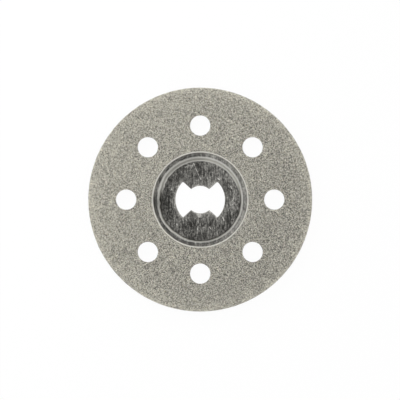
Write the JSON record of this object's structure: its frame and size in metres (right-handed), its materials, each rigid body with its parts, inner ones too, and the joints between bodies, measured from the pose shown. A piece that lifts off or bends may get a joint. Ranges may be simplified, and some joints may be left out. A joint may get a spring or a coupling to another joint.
{
  "type": "diamond cutting disc",
  "caption": "Thin round cutting disc with diamond grit plated on both faces, a circle of cooling holes and a dished steel hub with a bow-tie drive opening.",
  "frame": {"origin": "on the spin axis, at the back of the hub cup's floor, which the disc rests on", "axes": "+Z along the spin axis, out of the dished side; +X along the long axis of the bow-tie opening; a cooling hole on +Y"},
  "size_m": [0.038, 0.038, 0.0018],
  "materials": {
    "diamond_coat": "diamond grit held in electroplated nickel, matt and rough",
    "rolled_steel": "bare rolled steel sheet, pressed, with a fine straight grain"
  },
  "bodies": {
    "root": {"coated_blank": "diamond_coat", "hub_cup": "rolled_steel"}
  },
  "joints": []
}
